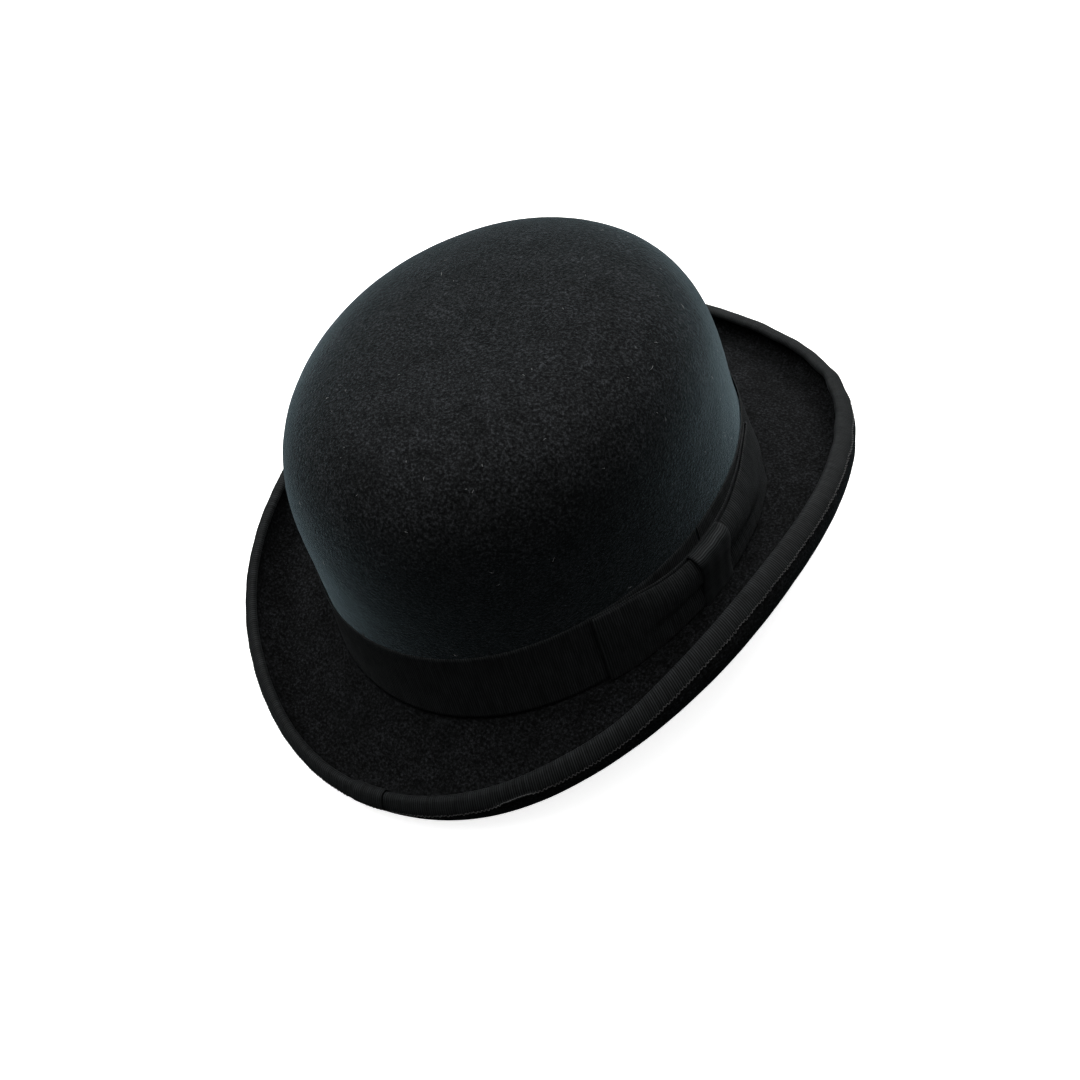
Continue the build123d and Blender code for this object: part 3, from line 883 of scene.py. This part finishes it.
def reed_tape():
    """Tape folded round the reed and up either side of the leather's foot."""
    outer = LEATHER_DEPTH + 0.45
    inner = LEATHER_DEPTH - LEATHER - 0.75
    bottom = REED_BOTTOM - 0.4
    path = spline_through([
        (TAPE_TOP, outer), (9.0, outer), (5.0, outer), (2.4, outer - 0.1),
        (bottom + 0.3, outer - 0.7), (bottom, (outer + inner) / 2), (bottom + 0.3, inner + 0.5),
        (2.4, inner), (5.0, inner), (TAPE_LAP, inner),
    ], 30)
    angle = even_angles(wall_line(3.0, inner), TURN, 0, TAPE_RIB_PITCH)[:-1]
    middle = beside_wall(angle, path[:, :1], path[:, 1:])
    cord = ribs(len(angle), FINE_CORD)
    thing = ribbon("reed_tape", middle[::-1], cord, TAPE_CLOTH, ["reed_tape"],
                   wrap=True, thickness=TAPE)


def lining_station(height):
    """Station on the crown felt at a height above the break, at the side."""
    stations = np.linspace(0.2, 1, 801)
    side = np.full(len(stations), math.pi / 2)
    heights = felt(side, stations)[:, 2] - BREAK_HEIGHT[0]
    return float(np.interp(-height, -heights, stations))


def lining_side():
    """Gathered side of the lining: its fullness is drawn up at the seam with the tip."""
    angle = np.arange(1200)[::-1] * TURN / 1200
    foot, seam = lining_station(LINING_BOTTOM), LINING_SEAM_STATION
    share = np.linspace(0, 1, 30)[:, None]
    station = foot + (seam - foot) * share
    full = smooth((share - 0.35) / 0.6)
    gather = np.sin(angle * 62 + 1.6 * np.sin(angle * 7)) + 0.5 * np.sin(angle * 31 + 2.0)
    slack = undulation(felt(angle, station), 50.0, 0.5)
    depth = LINING_DEPTH - 0.55 - 0.32 * gather * full - np.abs(slack) * (1 - full)
    middle = felt_layer(angle, station, depth)
    thing = ribbon("lining_side", middle[::-1], 0.0, SATIN_CLOTH, ["lining_side"],
                   wrap=True, thickness=LINING)


def lining_tip():
    """Oval tip of the lining, hanging a little off the felt in its middle."""
    angle = np.arange(360) * TURN / 360
    edge = LINING_SEAM_STATION - 0.006
    station = edge * np.linspace(0, 1, 31)[1:, None]
    sag = LINING_DEPTH - TIP_SAG * np.cos(station / LINING_SEAM_STATION * math.pi / 2)
    pull = 0.18 * np.sin(angle * 40 + 1.3 * np.sin(angle * 9)) * smooth((station / edge - 0.55) / 0.45)
    slack = undulation(felt(angle, station), 45.0, 0.6) * smooth((1 - station / edge) * 3)
    depth = sag - 0.2 + pull + slack * smooth(station / 0.08)
    outer = felt_layer(angle, station, depth)
    inner = felt_layer(angle, station, depth - LINING)[::-1]
    pole = crown(np.zeros(1), np.ones(1))[0] + [0, 0, LINING_DEPTH - TIP_SAG - 0.2]
    below = pole - [0, 0, LINING]
    thing = closed_rings("lining_tip", outer, inner, pole, below, SATIN_CLOTH,
                         ["lining_tip"])


SMALL_BOW_HEIGHT = 11.7
SMALL_BOW_COLUMNS = 240
SMALL_KNOT_COLUMNS = 56
SMALL_RIBBON = 0.3
SMALL_ROWS = 8


def small_ribbon(name, middle, replaces=()):
    """Closed loop of narrow ribbon."""
    cord = ribs(middle.shape[1], FINE_CORD)
    ribbon(name, middle, cord, BAND_CLOTH, replaces, wrap=True, thickness=SMALL_RIBBON)


def sweatband_bow():
    """Flat bow at the foot of the leather's back seam, with its knot."""
    turn = np.arange(SMALL_BOW_COLUMNS) * TURN / SMALL_BOW_COLUMNS
    swing = np.sin(turn)
    angle = math.pi + math.radians(8.0) * np.sign(swing) * np.abs(swing) ** 0.8
    depth = LEATHER_DEPTH - LEATHER - 1.25 - 0.42 * np.sin(2 * turn) + 0.22 * np.cos(turn)
    width = 3.2 + 7.0 * np.abs(swing) ** 1.3
    height = SMALL_BOW_HEIGHT + np.linspace(-0.5, 0.5, SMALL_ROWS)[:, None] * width
    small_ribbon("sweatband_bow", beside_wall(angle, height, depth), ["sweatband_bow"])
    loop = np.arange(SMALL_KNOT_COLUMNS) * TURN / SMALL_KNOT_COLUMNS
    height = SMALL_BOW_HEIGHT + 2.3 * np.cos(loop)
    depth = LEATHER_DEPTH - LEATHER - 1.35 + 1.0 * np.sin(loop)
    angle = math.pi + np.linspace(-1, 1, SMALL_ROWS)[:, None] * math.radians(1.3)
    small_ribbon("sweatband_bow_knot", beside_wall(angle, height, depth))


TAB_COLUMNS = 65
TAB_FOOT = 30.5
TAB_THICKNESS = 0.25


def size_tab():
    """Blank tab of woven tape, hanging on the leather's face near the seam."""
    angle = np.radians(np.linspace(197, 187, TAB_COLUMNS))
    share = np.linspace(0, 1, 16)[:, None]
    height = TAB_FOOT + 21.5 * share
    depth = -2.85 - 0.7 * smooth((share - 0.6) / 0.4) + 0.12 * np.sin(angle * 60) * share
    middle = beside_wall(angle, height, depth)
    cord = ribs(len(angle), 0.02)
    thing = ribbon("size_tab", middle, cord, LABEL_CLOTH, ["size_tab"],
                   thickness=TAB_THICKNESS)


# ---------------------------------------------------------------- sewing

def stitches(name, start, end, out, rise, twist):
    """Twisted threads that leave the cloth at start, arch over it and go back in at end."""
    t = np.linspace(0, 1, STITCH_POINTS)[:, None]
    span = start[:, None] * (1 - t) + end[:, None] * t
    paths = span + out[:, None] * (rise * np.sin(math.pi * t) ** 0.5 - 0.25)
    radius = THREAD * np.sin(np.linspace(0.15, math.pi - 0.15, STITCH_POINTS)) ** 0.3
    tubes(name, paths, radius, 8, THREAD_STUFF, [name], twist=twist)


def stitch_row(name, curve, pitch, share, out, rise):
    """Stitches along curve(angle), each a share of the pitch long; out(angle) points off the cloth."""
    at = even_angles(curve, 0, TURN, pitch)[:-1:RIB_STEPS]
    count = len(at)
    at = at + random.uniform(-0.06, 0.06, count) * TURN / count
    end = at + share * TURN / count
    stitches(name, curve(at), curve(end), out((at + end) / 2), rise, 5.0)


def binding_stitches():
    stitch_row("binding_stitches", lambda a: edge_layer(a, BINDING_REACH + 0.35, FELT / 2 + 0.1), 7.0, 0.5,
               lambda a: square_to_felt(a, 2.8), 0.3)


def sweatband_stitches():
    stitch_row("sweatband_stitches", wall_line(6.0, LEATHER_DEPTH - LEATHER - 0.95), 4.5, 0.62,
               lambda a: -outward(a), 0.25)


def lining_stitches():
    depth = LINING_DEPTH - LINING - 0.55
    stitch_row("lining_stitches", lambda a: felt_layer(a, LINING_SEAM_STATION, depth), 4.5, 0.62,
               lambda a: -square_to_felt(a, LINING_SEAM_STATION), 0.25)


def band_tacks():
    """Short tacks over the band's top edge, clear of the bow."""
    at = np.radians([0.0, 180.0, 225.0, 270.0, 315.0])
    foot = beside_wall(at - 0.009, BAND_TOP + 0.9, FELT / 2 + 0.2)
    head = beside_wall(at + 0.009, BAND_TOP - 0.9, FELT / 2 + 1.0)
    stitches("band_tacks", foot, head, outward(at), 0.25, 4.0)


def bow_stitches():
    """Three stitches that catch the foot of the knot."""
    at = np.radians([88.6, 91.5, 94.4])
    low = beside_wall(at, 1.2, 2.6)
    high = beside_wall(at + 0.02, 1.9, 4.2)
    out = outward(at) * 0.5 - np.array([0, 0, 0.3])
    stitches("bow_stitches", low, high, out, 0.25, 4.0)


def seam_stitches():
    """Zigzag that draws the leather's two ends together at the back."""
    heights = np.linspace(16.4, 40.0, 15)
    side = math.radians(1.1) * np.where(np.arange(14) % 2, 1, -1)
    depth = LEATHER_DEPTH - LEATHER - 0.55
    start = beside_wall(math.pi - side, heights[:-1], depth)
    end = beside_wall(math.pi + side, heights[1:], depth)
    stitches("seam_stitches", start, end, -outward(np.full(14, math.pi)), 0.3, 4.0)


# ---------------------------------------------------------------- the hat

felt_hat()
lint()
brim_binding()
binding_picots()
hat_band()
bow_loop()
bow_knot()
sweatband()
reed_tape()
lining_side()
lining_tip()
sweatband_bow()
size_tab()
binding_stitches()
sweatband_stitches()
lining_stitches()
band_tacks()
bow_stitches()
seam_stitches()
sweatband_reed()


# ---------------------------------------------------------------- studio

def floor():
    """Wide pale floor, gently uneven so that it isn't a bare plane."""
    side = np.linspace(-FLOOR_HALF, FLOOR_HALF, FLOOR_LINES)
    x, y = np.meshgrid(side, side)
    z = -0.0008 - 0.002 * (np.hypot(x, y) / FLOOR_HALF) ** 2
    faces = [face[::-1] for face in grid_faces(FLOOR_LINES, FLOOR_LINES, False, False)]
    mesh = bpy.data.meshes.new("floor")
    mesh.from_pydata(np.stack([x, y, z], -1).reshape(-1, 3), [], faces)
    thing = bpy.data.objects.new("floor", mesh)
    bpy.context.scene.collection.objects.link(thing)
    s = Surface("floor_paper", (0.9, 0.9, 0.9), 0.9, Specular_IOR_Level=0.2)
    s.paint(s.colours(s.noise(0.5, 2, 0.5), [(0.3, (0.89, 0.89, 0.89)), (0.7, (0.91, 0.91, 0.91))]))
    s.set("Emission Color", (1, 1, 1, 1))
    s.set("Emission Strength", BACKDROP)
    mesh.materials.append(s.material)
    thing.visible_diffuse = False
    thing.visible_glossy = False


def softbox(name, azimuth, elevation, power, size=1.2, distance=1.8):
    """Square area light at an azimuth and elevation round the hat, facing it."""
    light = bpy.data.lights.new(name, "AREA")
    light.shape = "RECTANGLE"
    light.size = light.size_y = size
    light.energy = power
    a, e = math.radians(azimuth), math.radians(elevation)
    way = Vector((math.sin(a) * math.cos(e), -math.cos(a) * math.cos(e), math.sin(e)))
    lamp = bpy.data.objects.new(name, light)
    lamp.location = way * distance
    lamp.rotation_euler = way.to_track_quat("Z", "Y").to_euler()
    bpy.context.scene.collection.objects.link(lamp)


# Azimuth, elevation and roll in degrees; target in the hat's frame; distance in metres
CAMERA_ANGLES = (53.22, 47.07, -17.40)
CAMERA_TARGET = (0, 0, 40.2)
CAMERA_DISTANCE = 0.564
LENS = 44.09
LENS_SHIFT = (0.00865, -0.0728)


def camera():
    """Camera above the hat's front left, rolled to the left."""
    azimuth, elevation, roll = (math.radians(a) for a in CAMERA_ANGLES)
    target = Vector(((np.array(CAMERA_TARGET) + SHIFT) * MM).tolist())
    back = Vector((
        math.sin(azimuth) * math.cos(elevation),
        -math.cos(azimuth) * math.cos(elevation),
        math.sin(elevation),
    ))
    right = Vector((0, 0, 1)).cross(back).normalized()
    up = back.cross(right)
    tilted_right = right * math.cos(roll) + up * math.sin(roll)
    tilted_up = up * math.cos(roll) - right * math.sin(roll)
    data = bpy.data.cameras.new("camera")
    data.lens, data.sensor_width = LENS, 36.0
    data.shift_x, data.shift_y = LENS_SHIFT
    data.clip_start, data.clip_end = 0.01, 50.0
    thing = bpy.data.objects.new("camera", data)
    place = Matrix((tilted_right, tilted_up, back)).transposed().to_4x4()
    place.translation = target + back * CAMERA_DISTANCE
    thing.matrix_world = place
    bpy.context.scene.collection.objects.link(thing)
    bpy.context.scene.camera = thing


def studio():
    """Soft boxes round the hat, and a pale world that only the camera sees."""
    world = bpy.data.worlds.new("studio")
    world.use_nodes = True
    world.node_tree.nodes["Background"].inputs["Color"].default_value = (1, 1, 1, 1)
    world.node_tree.nodes["Background"].inputs["Strength"].default_value = BACKDROP
    world.cycles_visibility.diffuse = False
    world.cycles_visibility.glossy = False
    bpy.context.scene.world = world
    softbox("key", 190, 38, 38)
    softbox("top_left", 270, 58, 15)
    softbox("front_left", 315, 58, 7)
    softbox("near_fill", 80, 66, 12)
    softbox("top", 240, 74, 12, 1.6)
    bpy.context.scene.view_settings.view_transform = "Standard"
    bpy.context.scene.view_settings.exposure = 0.0


floor()
camera()
studio()
